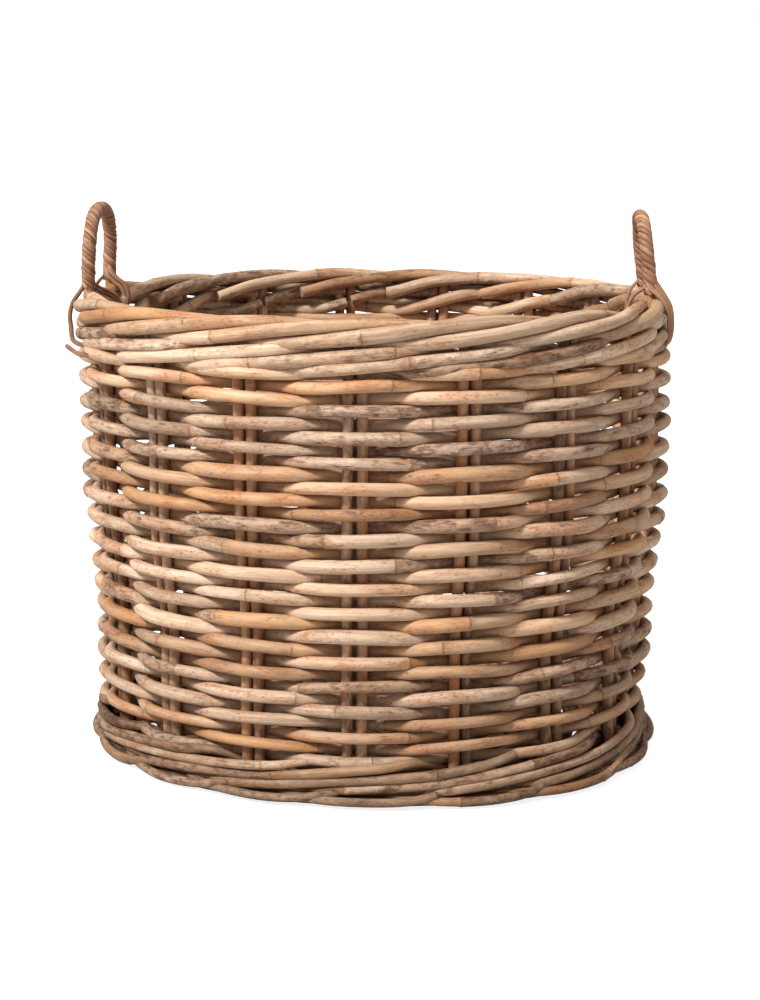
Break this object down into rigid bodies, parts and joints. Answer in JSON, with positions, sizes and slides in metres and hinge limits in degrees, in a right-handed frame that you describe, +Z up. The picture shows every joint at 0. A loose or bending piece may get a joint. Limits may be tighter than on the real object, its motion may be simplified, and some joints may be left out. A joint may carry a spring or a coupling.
{
  "type": "log basket",
  "caption": "Round basket woven from whole cane over paired upright stakes, with a twisted rim and an upright bow handle on each side.",
  "frame": {"origin": "on the floor plane at the middle of the basket's foot, on the axis of the round wall", "axes": "+Z up along the axis of the wall, +X towards the right handle and -X towards the left one, -Y towards the side that faces a viewer with the right handle on their right"},
  "size_m": [0.613, 0.6117, 0.5372],
  "materials": {
    "cane": "matte",
    "stake": "matte",
    "rim": "matte",
    "base": "matte",
    "wrap": "matte"
  },
  "bodies": {
    "root": {"stake_01a": "stake", "stake_01b": "stake", "stake_02a": "stake", "stake_02b": "stake", "stake_03a": "stake", "stake_03b": "stake", "stake_04a": "stake", "stake_04b": "stake", "stake_05a": "stake", "stake_05b": "stake", "stake_06a": "stake", "stake_06b": "stake", "stake_07a": "stake", "stake_07b": "stake", "stake_08a": "stake", "stake_08b": "stake", "stake_09a": "stake", "stake_09b": "stake", "stake_10a": "stake", "stake_10b": "stake", "stake_11a": "stake", "stake_11b": "stake", "stake_12a": "stake", "stake_12b": "stake", "stake_13a": "stake", "stake_13b": "stake", "stake_14a": "stake", "stake_14b": "stake", "stake_15a": "stake", "stake_15b": "stake", "stake_16a": "stake", "stake_16b": "stake", "stake_17a": "stake", "stake_17b": "stake", "weaver_01": "cane", "weaver_02": "cane", "weaver_03": "cane", "weaver_04": "cane", "weaver_05": "cane", "weaver_06": "cane", "weaver_07": "cane", "weaver_08": "cane", "rim_strand_1": "rim", "rim_strand_2": "rim", "rim_strand_3": "rim", "upper_wale": "rim", "foot_wale": "rim", "foot_ring": "rim", "base_spokes": "base", "base_weave": "base", "left_handle_core": "stake", "left_handle_wrap": "wrap", "left_handle_lashing_a": "wrap", "left_handle_lashing_b": "wrap", "right_handle_core": "stake", "right_handle_wrap": "wrap", "right_handle_lashing_a": "wrap", "right_handle_lashing_b": "wrap"}
  },
  "joints": []
}
